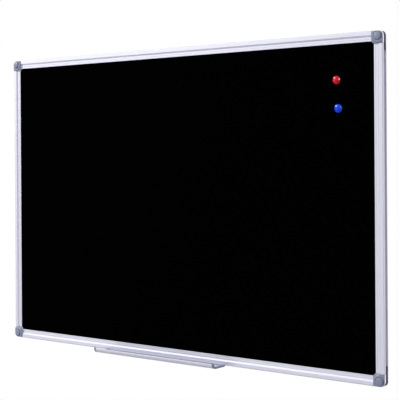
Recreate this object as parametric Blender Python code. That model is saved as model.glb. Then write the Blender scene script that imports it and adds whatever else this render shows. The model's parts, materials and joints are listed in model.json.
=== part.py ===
"""Magnetic chalkboard in an aluminium frame, with a sliding tray and two button magnets.

Axes: +X runs to the viewer's right, +Z is up and the front faces -Y. The wall is the
plane Y = 0. The origin is on the rear face of the top rail, at the middle of the board.

Two flat coordinates describe the frame: u runs inward from the frame's outer edge, and v
runs back from the frame's front plane. At a corner, a and b are the two u directions.
"""
import math

import bmesh
import bpy
from mathutils import Vector

# Overall sizes of the board, in metres
BOARD_WIDTH = 0.900
BOARD_HEIGHT = 0.600
FRAME_DEPTH = 0.0130

# Clearances and working values
FIT_GAP = 0.0003
CUT_OVERRUN = 0.002
MERGE_DISTANCE = 0.000001
ROUND_STEPS = 36
SMALL_ROUND_STEPS = 16
EDGE_STEPS = 5
SMOOTH_ANGLE = math.radians(32)

# Extruded rail: face, front edge, raised band and the step down to the inner band
RAIL_FACE = 0.0180
EDGE_RADIUS = 0.0022
REAR_EDGE_BREAK = 0.0005
BAND_WIDTH = 0.0075
STEP_RUN = 0.0030
STEP_DROP = 0.0020
SHADOW_GROOVE_PLACE = 0.0143
SHADOW_GROOVE_WIDTH = 0.0009
SHADOW_GROOVE_DEPTH = 0.00035

# Extruded rail: walls, the groove that holds the panel and the T-slot in the outer side
FRONT_WALL = 0.0014
REAR_WALL = 0.0014
WEB_WALL = 0.0013
LIP_THICKNESS = 0.0013
PANEL_GROOVE_DEPTH = 0.0065
REAR_FLANGE_REACH = 0.0045
SLOT_START = 0.0042
SLOT_LIP = 0.0009
SLOT_POCKET = 0.0013
SLOT_UNDERCUT = 0.0007
SLOT_FLOOR_WALL = 0.0013

# Panel: enamelled steel writing sheet, fibre core and metal backing sheet
SHEET_THICKNESS = 0.0004
BACKING_THICKNESS = 0.0004

# Corner elbow: block, legs in the rails' chambers and the hole for the wall screw
CORNER_SIZE = 0.0220
CORNER_RADIUS = 0.0090
ELBOW_CHAMFER = 0.0030
ELBOW_EDGE_ROUND = 0.0011
CAP_SEAT_DEPTH = 0.0010
LEG_LENGTH = 0.0260
LEG_LEAD_IN = 0.0012
LEG_HOLLOW_WALL = 0.0016
WALL_HOLE_RADIUS = 0.00275
WALL_HOLE_SINK_RADIUS = 0.0050

# Corner key: the T-shaped strip bent round each corner in the T-slots
KEY_REACH = 0.0340
KEY_RECESS = 0.0003

# Corner cap: plate, round boss, dished ring and the collar that takes the screw cover
CAP_INSET = 0.0009
CAP_CHAMFER = 0.0040
CAP_EDGE_ROUND = 0.0004
CAP_PLATE_PROUD = 0.0004
BOSS_PROUD = 0.0018
BOSS_RADIUS = 0.0134
BOSS_SLOPE_RUN = 0.0018
DISH_RADIUS = 0.0077
DISH_DEPTH = 0.0005
DISH_SLOPE_RUN = 0.0011
COLLAR_WALL = 0.0011
COLLAR_DEPTH = 0.0019

# Screw cover: a hollow stem in the cap's collar under a round head with a sloped shoulder
COVER_RADIUS = 0.0056
COVER_WALL = 0.0010
COVER_HEAD_RADIUS = 0.0072
COVER_HEAD_LIFT = 0.0002
COVER_HEAD_RISE = 0.0017
COVER_CROWN_RADIUS = 0.0050
COVER_DOME = 0.00025

# Countersunk tapping screws that hold each rail on the elbow's leg
SCREW_LENGTH = 0.0075
SCREW_SHANK_RADIUS = 0.00145
SCREW_HEAD_RADIUS = 0.0027
SCREW_HEAD_RIM = 0.0002
SCREW_POINT = 0.0016
SCREW_SETBACK = 0.0120

# Tray: a curved extrusion whose two barbed legs slide in the bottom rail's T-slot
TRAY_LENGTH = 0.300
TRAY_CENTRE = -0.032
TRAY_REACH = 0.0360
TRAY_WALL = 0.0013
TRAY_FRONT_RADIUS = 0.0078
TRAY_LIP_RISE = 0.0012
TRAY_LEG_WALL = 0.0010
TRAY_CAP_WIDTH = 0.0042
TRAY_CAP_KERB = 0.0008
TRAY_CAP_TONGUE = 0.0040
TRAY_CAP_TONGUE_STEP = 0.0002
TRAY_CAP_BACK_GAP = 0.0006

# Button magnets: a glossy domed cap over a disc magnet
MAGNET_RADIUS = 0.0075
MAGNET_HEIGHT = 0.0055
MAGNET_SKIRT = 0.0018
MAGNET_RIM_ROUND = 0.0004
MAGNET_CAP_WALL = 0.0020
MAGNET_DISC_THICKNESS = 0.0025
MAGNET_DISC_BREAK = 0.0003
RED_MAGNET_FROM_RIGHT = 0.0909
RED_MAGNET_FROM_TOP = 0.0801
BLUE_MAGNET_FROM_RIGHT = 0.0878
BLUE_MAGNET_FROM_TOP = 0.1291

# Places that follow from the sizes above
TOP_EDGE = RAIL_FACE / 2
BOTTOM_EDGE = TOP_EDGE - BOARD_HEIGHT
RIGHT_EDGE = BOARD_WIDTH / 2
FRONT_PLANE = -FRAME_DEPTH
REAR_INSIDE = FRAME_DEPTH - REAR_WALL
LIP_BACK = STEP_DROP + LIP_THICKNESS
SLOT_FLOOR = SLOT_LIP + SLOT_POCKET
CHAMBER_OUTSIDE = SLOT_FLOOR + SLOT_FLOOR_WALL
GROOVE_FLOOR = RAIL_FACE - PANEL_GROOVE_DEPTH
CHAMBER_INSIDE = GROOVE_FLOOR - WEB_WALL
SLOT_FRONT = SLOT_START - SLOT_UNDERCUT
SLOT_END = REAR_INSIDE - SLOT_UNDERCUT
CORNER_CENTRE = CORNER_RADIUS
COLLAR_BORE = COVER_RADIUS + FIT_GAP
COLLAR_OUTSIDE = COLLAR_BORE + COLLAR_WALL
CAP_BACK = CAP_SEAT_DEPTH - FIT_GAP
COLLAR_BACK = CAP_BACK + COLLAR_DEPTH


def arc(centre, radius, start, end, steps):
    """Points on an arc in a flat outline, from one angle to another in degrees."""
    angles = (math.radians(start + (end - start) * i / steps) for i in range(steps + 1))
    return [(centre[0] + radius * math.cos(t), centre[1] + radius * math.sin(t)) for t in angles]


def clean(bm):
    """Merge doubled points and turn every face outward."""
    bmesh.ops.remove_doubles(bm, verts=bm.verts, dist=MERGE_DISTANCE)
    bmesh.ops.recalc_face_normals(bm, faces=bm.faces)
    return bm


def prism(outlines, place, travel):
    """Fill a flat outline, with any further outlines as holes in it, and extrude it."""
    bm = bmesh.new()
    edges = []
    for outline in outlines:
        verts = [bm.verts.new(place(p, q)) for p, q in outline]
        edges += [bm.edges.new(pair) for pair in zip(verts, verts[1:] + verts[:1])]
    filled = bmesh.ops.triangle_fill(bm, use_beauty=True, edges=edges)
    faces = [item for item in filled["geom"] if isinstance(item, bmesh.types.BMFace)]
    grown = bmesh.ops.extrude_face_region(bm, geom=faces)
    moved = [item for item in grown["geom"] if isinstance(item, bmesh.types.BMVert)]
    bmesh.ops.translate(bm, vec=travel, verts=moved)
    return clean(bm)


def box(low, high):
    """A box between two opposite corners."""
    outline = [(low[0], low[2]), (high[0], low[2]), (high[0], high[2]), (low[0], high[2])]
    return prism([outline], lambda x, z: Vector((x, low[1], z)), Vector((0, high[1] - low[1], 0)))


def turned(profile, centre=(0, 0), steps=ROUND_STEPS):
    """Spin a closed (radius, v) profile about an axis along Y through centre (x, z)."""
    bm = bmesh.new()
    verts = [bm.verts.new((centre[0] + r, v, centre[1])) for r, v in profile]
    edges = [bm.edges.new(pair) for pair in zip(verts, verts[1:] + verts[:1])]
    bmesh.ops.spin(bm, geom=verts + edges, cent=(centre[0], 0, centre[1]), axis=(0, 1, 0),
                   angle=math.tau, steps=steps, use_merge=True)
    bmesh.ops.remove_doubles(bm, verts=bm.verts, dist=MERGE_DISTANCE)
    stray = [edge for edge in bm.edges if not edge.link_faces]
    bmesh.ops.delete(bm, geom=stray, context="EDGES")
    return clean(bm)


def swept(section, stations):
    """Carry a closed (u, v) section past a row of stations, each a function of (u, v)."""
    bm = bmesh.new()
    rings = [[bm.verts.new(station(u, v)) for u, v in section] for station in stations]
    for near, far in zip(rings, rings[1:]):
        for i in range(len(section)):
            j = (i + 1) % len(section)
            bm.faces.new((near[i], near[j], far[j], far[i]))
    bm.faces.new(rings[0])
    bm.faces.new(rings[-1])
    return clean(bm)


def as_mesh(bm, name):
    """Turn a bmesh into a mesh that is shaded smooth across its shallow edges."""
    mesh = bpy.data.meshes.new(name)
    bm.to_mesh(mesh)
    bm.free()
    mesh.shade_smooth()
    mesh.set_sharp_from_angle(angle=SMOOTH_ANGLE)
    return mesh


def carved(name, base, steps):
    """Cut and join solids by exact Booleans, in order, and return the finished mesh."""
    collection = bpy.context.scene.collection
    body = bpy.data.objects.new(name, as_mesh(base, name))
    collection.objects.link(body)
    tools = []
    for operation, solid in steps:
        tool = bpy.data.objects.new(name + "_tool", as_mesh(solid, name + "_tool"))
        tool.hide_render = True
        tool.display_type = "WIRE"
        collection.objects.link(tool)
        tools.append(tool)
        modifier = body.modifiers.new(operation.title(), "BOOLEAN")
        modifier.operation = operation
        modifier.solver = "EXACT"
        modifier.object = tool
    evaluated = body.evaluated_get(bpy.context.evaluated_depsgraph_get())
    mesh = bpy.data.meshes.new_from_object(evaluated)
    for item in tools + [body]:
        bpy.data.objects.remove(item, do_unlink=True)
    mesh.shade_smooth()
    mesh.set_sharp_from_angle(angle=SMOOTH_ANGLE)
    return mesh


def material(name, colour, roughness, metallic):
    """A Principled material with a plain colour."""
    made = bpy.data.materials.new(name)
    made.use_nodes = True
    shader = made.node_tree.nodes["Principled BSDF"]
    shader.inputs["Base Color"].default_value = (*colour, 1)
    shader.inputs["Roughness"].default_value = roughness
    shader.inputs["Metallic"].default_value = metallic
    made.diffuse_color = (*colour, 1)
    return made


def add(name, mesh, finish, parent, location=(0, 0, 0), turn=0):
    """Place a mesh as a named sub-part, turned about Y in degrees."""
    mesh = mesh if mesh.users == 0 else mesh.copy()
    mesh.materials.clear()
    mesh.materials.append(finish)
    made = bpy.data.objects.new(name, mesh)
    made.location = location
    made.rotation_euler = (0, math.radians(turn), 0)
    made.parent = parent
    bpy.context.scene.collection.objects.link(made)
    return made


def empty(name, location=(0, 0, 0)):
    """An empty that carries one moving group."""
    made = bpy.data.objects.new(name, None)
    made.location = location
    bpy.context.scene.collection.objects.link(made)
    return made


def rail_outline():
    """The rail's outer boundary, from the front edge round to the T-slot."""
    nose = LIP_THICKNESS / 2
    nose_centre = (RAIL_FACE - nose, STEP_DROP + nose)
    groove_half = SHADOW_GROOVE_WIDTH / 2
    return [
        *arc((EDGE_RADIUS, EDGE_RADIUS), EDGE_RADIUS, 180, 270, EDGE_STEPS),
        (BAND_WIDTH, 0),
        (BAND_WIDTH + STEP_RUN, STEP_DROP),
        (SHADOW_GROOVE_PLACE - groove_half, STEP_DROP),
        (SHADOW_GROOVE_PLACE, STEP_DROP + SHADOW_GROOVE_DEPTH),
        (SHADOW_GROOVE_PLACE + groove_half, STEP_DROP),
        *arc(nose_centre, nose, -90, 90, EDGE_STEPS + 1),
        (GROOVE_FLOOR, LIP_BACK),
        (GROOVE_FLOOR, REAR_INSIDE),
        (GROOVE_FLOOR + REAR_FLANGE_REACH, REAR_INSIDE),
        (GROOVE_FLOOR + REAR_FLANGE_REACH, FRAME_DEPTH),
        (REAR_EDGE_BREAK, FRAME_DEPTH),
        (0, FRAME_DEPTH - REAR_EDGE_BREAK),
        (0, SLOT_END),
        (SLOT_LIP, SLOT_END),
        (SLOT_LIP, REAR_INSIDE),
        (SLOT_FLOOR, REAR_INSIDE),
        (SLOT_FLOOR, SLOT_FRONT),
        (SLOT_LIP, SLOT_FRONT),
        (SLOT_LIP, SLOT_START),
        (0, SLOT_START),
    ]


def chamber_outline():
    """The hollow chamber of the rail, which follows the step at one wall's distance."""
    slope = math.atan2(STEP_DROP, STEP_RUN)
    bend = BAND_WIDTH - FRONT_WALL * math.tan(slope / 2)
    drop = (CHAMBER_INSIDE - bend) * math.tan(slope)
    return [
        (CHAMBER_OUTSIDE, FRONT_WALL),
        (bend, FRONT_WALL),
        (CHAMBER_INSIDE, FRONT_WALL + drop),
        (CHAMBER_INSIDE, REAR_INSIDE),
        (CHAMBER_OUTSIDE, REAR_INSIDE),
    ]


def countersunk(grow, back, shank_end, tip):
    """The (radius, v) profile of a countersunk screw or of its hole, head at the rear."""
    rim_front = FRAME_DEPTH - 2 * SCREW_HEAD_RIM
    cone = SCREW_HEAD_RADIUS - SCREW_SHANK_RADIUS
    return [
        (0, back),
        (SCREW_HEAD_RADIUS + grow, back),
        (SCREW_HEAD_RADIUS + grow, rim_front),
        (SCREW_SHANK_RADIUS + grow, rim_front - cone),
        (SCREW_SHANK_RADIUS + grow, shank_end),
        (0, tip),
    ]


def screw_profile(grow, overrun):
    """A tapping screw's profile, or with grow and overrun the hole that it stands in."""
    tip = FRAME_DEPTH - SCREW_LENGTH - overrun
    return countersunk(grow, FRAME_DEPTH - SCREW_HEAD_RIM + overrun, tip + SCREW_POINT, tip)


def screw_place():
    """How far in from the corner, and how far in from the outer edge, a screw stands."""
    return CORNER_SIZE + FIT_GAP + SCREW_SETBACK, (CHAMBER_OUTSIDE + CHAMBER_INSIDE) / 2


def rail_mesh(name, full_length):
    """A hollow rail that runs between two corner blocks, drilled at both ends."""
    length = full_length - 2 * (CORNER_SIZE + FIT_GAP)
    body = prism([rail_outline(), chamber_outline()],
                 lambda u, v: Vector((-length / 2, v, -u)), Vector((length, 0, 0)))
    along, across = screw_place()
    through = REAR_INSIDE - CUT_OVERRUN
    profile = countersunk(FIT_GAP, FRAME_DEPTH + CUT_OVERRUN, through, through)
    holes = []
    for side in (-1, 1):
        spot = (side * (full_length / 2 - along), -across)
        holes.append(("DIFFERENCE", turned(profile, spot, SMALL_ROUND_STEPS)))
    return carved(name, body, holes)


def corner_outline(inset, chamfer):
    """Plan of a corner block in (a, b): rounded outside, chamfered at the panel."""
    radius = CORNER_RADIUS - inset
    return [
        *arc((CORNER_RADIUS, CORNER_RADIUS), radius, 180, 270, 2 * EDGE_STEPS),
        (CORNER_SIZE, inset),
        (CORNER_SIZE, CORNER_SIZE - chamfer),
        (CORNER_SIZE - chamfer, CORNER_SIZE),
        (inset, CORNER_SIZE),
    ]


def corner_stations(reach):
    """Stations round a corner: straight from reach to the arc, round it, and straight out."""
    def straight_in(u, v):
        return Vector((-reach, v, -u))

    def straight_out(u, v):
        return Vector((-u, v, -reach))

    def bend(degrees):
        def station(u, v):
            angle = math.radians(degrees)
            radius = CORNER_RADIUS - u
            return Vector((-CORNER_RADIUS + radius * math.sin(angle), v,
                           -CORNER_RADIUS + radius * math.cos(angle)))
        return station

    count = 2 * EDGE_STEPS
    return [straight_in, *[bend(90 * i / count) for i in range(count + 1)], straight_out]


def slot_section(inset, overrun):
    """The T-slot's (u, v) section, drawn in by inset and run out past the outer side."""
    return [
        (-overrun, SLOT_START + inset),
        (SLOT_LIP + inset, SLOT_START + inset),
        (SLOT_LIP + inset, SLOT_FRONT + inset),
        (SLOT_FLOOR - inset, SLOT_FRONT + inset),
        (SLOT_FLOOR - inset, REAR_INSIDE - inset),
        (SLOT_LIP + inset, REAR_INSIDE - inset),
        (SLOT_LIP + inset, SLOT_END - inset),
        (-overrun, SLOT_END - inset),
    ]


def bevel_front(bm, level, width):
    """Round the edges that lie in the plane at one v level, outside edges only."""
    flat = [edge for edge in bm.edges
            if all(abs(vert.co.y - level) < MERGE_DISTANCE for vert in edge.verts)
            and any(abs(face.normal.y) < abs(math.cos(SMOOTH_ANGLE)) for face in edge.link_faces)]
    bmesh.ops.bevel(bm, geom=flat, offset=width, offset_type="OFFSET", segments=2, profile=0.5,
                    affect="EDGES")
    return clean(bm)


def plan_prism(outline, front, back):
    """Extrude a corner plan between two v levels."""
    return prism([outline], lambda a, b: Vector((-a, front, -b)), Vector((0, back - front, 0)))


def elbow_leg(upward):
    """One leg of the elbow: a hollow-backed bar with a tapered end, inside a chamber."""
    low = CHAMBER_OUTSIDE + FIT_GAP
    high = CHAMBER_INSIDE - FIT_GAP
    front = FRONT_WALL + (CHAMBER_INSIDE - BAND_WIDTH) * STEP_DROP / STEP_RUN + 2 * FIT_GAP
    back = REAR_INSIDE - FIT_GAP
    root = CORNER_SIZE - CUT_OVERRUN
    end = CORNER_SIZE + LEG_LENGTH
    outline = [
        (root, low),
        (end - LEG_LEAD_IN, low),
        (end, low + LEG_LEAD_IN),
        (end, high - LEG_LEAD_IN),
        (end - LEG_LEAD_IN, high),
        (root, high),
    ]
    if upward:
        outline = [(b, a) for a, b in reversed(outline)]
    return plan_prism(outline, front, back)


def leg_relief(upward):
    """The moulding's core pocket in the front of a leg, past the screw."""
    along, _ = screw_place()
    low = CHAMBER_OUTSIDE + FIT_GAP + LEG_HOLLOW_WALL
    high = CHAMBER_INSIDE - FIT_GAP - LEG_HOLLOW_WALL
    start = along + SCREW_SHANK_RADIUS + FIT_GAP + LEG_HOLLOW_WALL
    end = CORNER_SIZE + LEG_LENGTH - LEG_LEAD_IN - LEG_HOLLOW_WALL
    outline = [(start, low), (end, low), (end, high), (start, high)]
    if upward:
        outline = [(b, a) for a, b in reversed(outline)]
    return plan_prism(outline, 0, REAR_INSIDE - FIT_GAP - LEG_HOLLOW_WALL)


def elbow_mesh():
    """The corner elbow: block, legs, T-slot, panel rebate and wall-screw hole."""
    block = plan_prism(corner_outline(0, ELBOW_CHAMFER), CAP_SEAT_DEPTH, FRAME_DEPTH)
    block = bevel_front(block, CAP_SEAT_DEPTH, ELBOW_EDGE_ROUND)
    far = -CORNER_SIZE - CUT_OVERRUN
    rebate = box((far, LIP_BACK, far), (-GROOVE_FLOOR, REAR_INSIDE, -GROOVE_FLOOR))
    slot = swept(slot_section(0, CUT_OVERRUN), corner_stations(CORNER_SIZE + CUT_OVERRUN))
    centre = (-CORNER_CENTRE, -CORNER_CENTRE)
    socket_radius = COLLAR_OUTSIDE + FIT_GAP
    socket_floor = COLLAR_BACK + FIT_GAP
    sink_depth = WALL_HOLE_SINK_RADIUS - WALL_HOLE_RADIUS
    bore = turned([
        (0, CAP_SEAT_DEPTH - CUT_OVERRUN),
        (socket_radius, CAP_SEAT_DEPTH - CUT_OVERRUN),
        (socket_radius, socket_floor),
        (WALL_HOLE_SINK_RADIUS, socket_floor),
        (WALL_HOLE_RADIUS, socket_floor + sink_depth),
        (WALL_HOLE_RADIUS, FRAME_DEPTH + CUT_OVERRUN),
        (0, FRAME_DEPTH + CUT_OVERRUN),
    ], centre)
    along, across = screw_place()
    pilot = screw_profile(FIT_GAP, CUT_OVERRUN)
    return carved("corner_elbow", block, [
        ("DIFFERENCE", rebate),
        ("DIFFERENCE", slot),
        ("DIFFERENCE", bore),
        ("UNION", elbow_leg(False)),
        ("UNION", elbow_leg(True)),
        ("DIFFERENCE", turned(pilot, (-along, -across), SMALL_ROUND_STEPS)),
        ("DIFFERENCE", turned(pilot, (-across, -along), SMALL_ROUND_STEPS)),
        ("DIFFERENCE", leg_relief(False)),
        ("DIFFERENCE", leg_relief(True)),
    ])


def key_mesh():
    """The bent T-shaped strip that lies in the slots and closes them at the corner."""
    return as_mesh(swept(slot_section(FIT_GAP, -KEY_RECESS), corner_stations(KEY_REACH)),
                   "corner_key")


def cap_mesh():
    """The corner cap: plate, round boss with a sloped edge, dished ring and collar."""
    front = -BOSS_PROUD
    plate = plan_prism(corner_outline(CAP_INSET, CAP_CHAMFER), front, CAP_BACK)
    plate = bevel_front(plate, front, CAP_EDGE_ROUND)
    centre = (-CORNER_CENTRE, -CORNER_CENTRE)
    clear_radius = 2 * CORNER_SIZE
    around_boss = turned([
        (BOSS_RADIUS - BOSS_SLOPE_RUN, front - CUT_OVERRUN),
        (clear_radius, front - CUT_OVERRUN),
        (clear_radius, -CAP_PLATE_PROUD),
        (BOSS_RADIUS, -CAP_PLATE_PROUD),
        (BOSS_RADIUS - BOSS_SLOPE_RUN, front),
    ], centre)
    collar = turned([
        (0, -CAP_PLATE_PROUD),
        (COLLAR_OUTSIDE, -CAP_PLATE_PROUD),
        (COLLAR_OUTSIDE, COLLAR_BACK),
        (0, COLLAR_BACK),
    ], centre)
    bore = turned([
        (0, front - CUT_OVERRUN),
        (DISH_RADIUS, front - CUT_OVERRUN),
        (DISH_RADIUS, front),
        (DISH_RADIUS - DISH_SLOPE_RUN, front + DISH_DEPTH),
        (COLLAR_BORE, front + DISH_DEPTH),
        (COLLAR_BORE, COLLAR_BACK + CUT_OVERRUN),
        (0, COLLAR_BACK + CUT_OVERRUN),
    ], centre)
    return carved("corner_cap", plate, [
        ("DIFFERENCE", around_boss),
        ("UNION", collar),
        ("DIFFERENCE", bore),
    ])


def cover_mesh():
    """The screw cover: a round head that overhangs its hollow stem, open at the back."""
    rim = -BOSS_PROUD - COVER_HEAD_LIFT
    top = rim - COVER_HEAD_RISE
    inner = COVER_RADIUS - COVER_WALL
    return as_mesh(turned([
        (0, top - COVER_DOME),
        (COVER_CROWN_RADIUS, top),
        (COVER_HEAD_RADIUS, rim),
        (COVER_RADIUS, rim),
        (COVER_RADIUS, COLLAR_BACK),
        (inner, COLLAR_BACK),
        (inner, top + COVER_WALL),
        (0, top + COVER_WALL),
    ]), "screw_cover")


def screw_mesh():
    """One tapping screw, on its own axis, its head at the frame's rear."""
    return as_mesh(turned(screw_profile(0, 0), steps=SMALL_ROUND_STEPS), "corner_screw")


def tray_band(outer_inset, inner_inset, back, rise):
    """A J-shaped band of the tray's (v, u) section, between two offsets from its outside.

    The floor runs forward from back, turns up in a quarter circle and ends at the lip.
    """
    under = -FIT_GAP - TRAY_WALL
    centre = (-TRAY_REACH + TRAY_FRONT_RADIUS, under + TRAY_FRONT_RADIUS)
    outer = TRAY_FRONT_RADIUS - outer_inset
    inner = TRAY_FRONT_RADIUS - inner_inset
    lip = centre[1] + rise
    half = (inner_inset - outer_inset) / 2
    crest = (centre[0] - (outer + inner) / 2, lip)
    return [
        (back, under + outer_inset),
        *arc(centre, outer, 270, 180, 2 * EDGE_STEPS),
        *arc(crest, half, 180, 0, EDGE_STEPS - 1),
        *arc(centre, inner, 180, 270, 2 * EDGE_STEPS),
        (back, under + inner_inset),
    ]


def tray_outline():
    """The tray's whole (v, u) section: floor, curved lip and two barbed legs."""
    leg_front = SLOT_START + FIT_GAP
    leg_rear = SLOT_END - FIT_GAP
    barb_front = SLOT_FRONT + FIT_GAP
    barb_rear = REAR_INSIDE - FIT_GAP
    barb_low = SLOT_LIP + FIT_GAP
    top = SLOT_FLOOR - FIT_GAP
    floor = -FIT_GAP
    band = tray_band(0, TRAY_WALL, leg_rear, TRAY_LIP_RISE)
    legs = [
        (leg_rear, barb_low),
        (barb_rear, barb_low),
        (leg_rear, top),
        (leg_rear - TRAY_LEG_WALL, top),
        (leg_rear - TRAY_LEG_WALL, floor),
        (leg_front + TRAY_LEG_WALL, floor),
        (leg_front + TRAY_LEG_WALL, top),
        (leg_front, top),
        (barb_front, barb_low),
        (leg_front, barb_low),
        (leg_front, floor),
    ]
    return band[:-1] + legs[::-1]


def tray_prism(outline, start, end):
    """Extrude a (v, u) outline of the tray along X; the bottom rail's edge is at z = 0."""
    return prism([outline], lambda v, u: Vector((start, v, u)), Vector((end - start, 0, 0)))


def tray_channel_mesh():
    """The tray's extrusion, which stops short of the end caps by one gap."""
    half = TRAY_LENGTH / 2 - TRAY_CAP_WIDTH - FIT_GAP
    return as_mesh(tray_prism(tray_outline(), -half, half), "tray_channel")


def tray_cap_mesh(name, side):
    """An end cap: a J-shaped block past the channel's end and a tongue inside it."""
    outside = side * TRAY_LENGTH / 2
    shoulder = side * (TRAY_LENGTH / 2 - TRAY_CAP_WIDTH)
    tongue_end = side * (TRAY_LENGTH / 2 - TRAY_CAP_WIDTH - TRAY_CAP_TONGUE)
    inner = TRAY_WALL + FIT_GAP + TRAY_CAP_KERB
    back = -TRAY_CAP_BACK_GAP
    block = tray_prism(tray_band(0, inner, back, TRAY_LIP_RISE), shoulder, outside)
    tongue_inner = inner - TRAY_CAP_TONGUE_STEP
    tongue_back = back - TRAY_CAP_TONGUE_STEP
    tongue_rise = TRAY_LIP_RISE - TRAY_CAP_TONGUE_STEP
    tongue = tray_prism(tray_band(TRAY_WALL + FIT_GAP, tongue_inner, tongue_back, tongue_rise),
                        tongue_end, (shoulder + outside) / 2)
    return carved(name, block, [("UNION", tongue)])


def magnet_cap_mesh(name):
    """A domed button, hollow behind, whose back is the plane v = 0."""
    dome_rise = MAGNET_HEIGHT - MAGNET_SKIRT
    sphere = (MAGNET_RADIUS ** 2 + dome_rise ** 2) / (2 * dome_rise)
    reach = math.degrees(math.asin(MAGNET_RADIUS / sphere))
    crown = arc((0, -MAGNET_HEIGHT + sphere), sphere, -90, -90 + reach, 2 * EDGE_STEPS)
    pocket = MAGNET_RADIUS - MAGNET_CAP_WALL
    pocket_floor = -MAGNET_DISC_THICKNESS - 2 * FIT_GAP
    return as_mesh(turned([
        *crown,
        (MAGNET_RADIUS, -MAGNET_RIM_ROUND),
        (MAGNET_RADIUS - MAGNET_RIM_ROUND, 0),
        (pocket, 0),
        (pocket, pocket_floor),
        (0, pocket_floor),
    ]), name)


def magnet_disc_mesh(name):
    """The disc magnet inside a button, its edges broken and its face one gap back."""
    radius = MAGNET_RADIUS - MAGNET_CAP_WALL - FIT_GAP
    back = -FIT_GAP
    front = back - MAGNET_DISC_THICKNESS
    return as_mesh(turned([
        (0, front),
        (radius - MAGNET_DISC_BREAK, front),
        (radius, front + MAGNET_DISC_BREAK),
        (radius, back - MAGNET_DISC_BREAK),
        (radius - MAGNET_DISC_BREAK, back),
        (0, back),
    ]), name)


def build_panel(finishes, board):
    """The three sheets of the panel, held in the grooves of the four rails."""
    edge = GROOVE_FLOOR + FIT_GAP
    left = -RIGHT_EDGE + edge
    right = RIGHT_EDGE - edge
    low = BOTTOM_EDGE + edge
    high = TOP_EDGE - edge
    sheet_front = FRONT_PLANE + LIP_BACK + FIT_GAP
    sheet_back = sheet_front + SHEET_THICKNESS
    backing_back = FRONT_PLANE + REAR_INSIDE - FIT_GAP
    backing_front = backing_back - BACKING_THICKNESS
    layers = (
        ("writing_sheet", sheet_front, sheet_back, finishes["chalk_enamel"]),
        ("panel_core", sheet_back + FIT_GAP, backing_front - FIT_GAP, finishes["fibreboard"]),
        ("backing_sheet", backing_front, backing_back, finishes["backing_metal"]),
    )
    for name, front, back, finish in layers:
        slab = box((left, front, low), (right, back, high))
        add(name, as_mesh(slab, name), finish, board)


def build_frame(finishes, board):
    """The four rails, each turned about Y so that its outer edge faces out."""
    sides = (
        ("rail_top", BOARD_WIDTH, (0, FRONT_PLANE, TOP_EDGE), 0),
        ("stile_right", BOARD_HEIGHT, (RIGHT_EDGE, FRONT_PLANE, (TOP_EDGE + BOTTOM_EDGE) / 2), 90),
        ("rail_bottom", BOARD_WIDTH, (0, FRONT_PLANE, BOTTOM_EDGE), 180),
        ("stile_left", BOARD_HEIGHT, (-RIGHT_EDGE, FRONT_PLANE, (TOP_EDGE + BOTTOM_EDGE) / 2), -90),
    )
    for name, length, location, turn in sides:
        add(name, rail_mesh(name, length), finishes["anodised_aluminium"], board, location, turn)


def inward(edge, distance):
    """The coordinate that lies a distance in from an outer edge, towards the middle."""
    if edge == BOTTOM_EDGE:
        return edge + distance
    return edge - math.copysign(distance, edge)


def build_corners(finishes, board):
    """Elbow, key, cap, screws and screw cover at each corner of the frame."""
    corners = (
        ("tr", RIGHT_EDGE, TOP_EDGE, 0),
        ("br", RIGHT_EDGE, BOTTOM_EDGE, 90),
        ("bl", -RIGHT_EDGE, BOTTOM_EDGE, 180),
        ("tl", -RIGHT_EDGE, TOP_EDGE, -90),
    )
    elbow, key, cap, screw, cover = (elbow_mesh(), key_mesh(), cap_mesh(), screw_mesh(),
                                     cover_mesh())
    along, across = screw_place()
    for tag, x, z, turn in corners:
        place = (x, FRONT_PLANE, z)
        add("corner_elbow_" + tag, elbow, finishes["silver_elbow"], board, place, turn)
        add("corner_key_" + tag, key, finishes["dark_key"], board, place, turn)
        add("corner_cap_" + tag, cap, finishes["grey_plastic"], board, place, turn)
        for rail, from_x, from_z in (("rail", along, across), ("stile", across, along)):
            spot = (inward(x, from_x), FRONT_PLANE, inward(z, from_z))
            add(rail + "_screw_" + tag, screw, finishes["zinc_screw"], board, spot)
        hole = (inward(x, CORNER_CENTRE), FRONT_PLANE, inward(z, CORNER_CENTRE))
        holder = empty("cover_axis_" + tag, hole)
        add("screw_cover_" + tag, cover, finishes["grey_plastic"], holder)


def build_tray(finishes):
    """The tray and its end caps, on an empty in the bottom rail's slot."""
    runner = empty("tray_runner", (TRAY_CENTRE, FRONT_PLANE, BOTTOM_EDGE))
    add("tray_channel", tray_channel_mesh(), finishes["anodised_aluminium"], runner)
    for name, side in (("tray_end_cap_left", -1), ("tray_end_cap_right", 1)):
        add(name, tray_cap_mesh(name, side), finishes["grey_plastic"], runner)


def build_magnets(finishes):
    """The red and the blue button magnet on the writing sheet."""
    back = FRONT_PLANE + LIP_BACK
    places = (
        ("red", RED_MAGNET_FROM_RIGHT, RED_MAGNET_FROM_TOP),
        ("blue", BLUE_MAGNET_FROM_RIGHT, BLUE_MAGNET_FROM_TOP),
    )
    for colour, from_right, from_top in places:
        seat = empty("magnet_axis_" + colour, (RIGHT_EDGE - from_right, back, TOP_EDGE - from_top))
        cap_name = "magnet_" + colour + "_cap"
        disc_name = "magnet_" + colour + "_disc"
        add(cap_name, magnet_cap_mesh(cap_name), finishes[colour + "_gloss"], seat)
        add(disc_name, magnet_disc_mesh(disc_name), finishes["ferrite"], seat)


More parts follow.
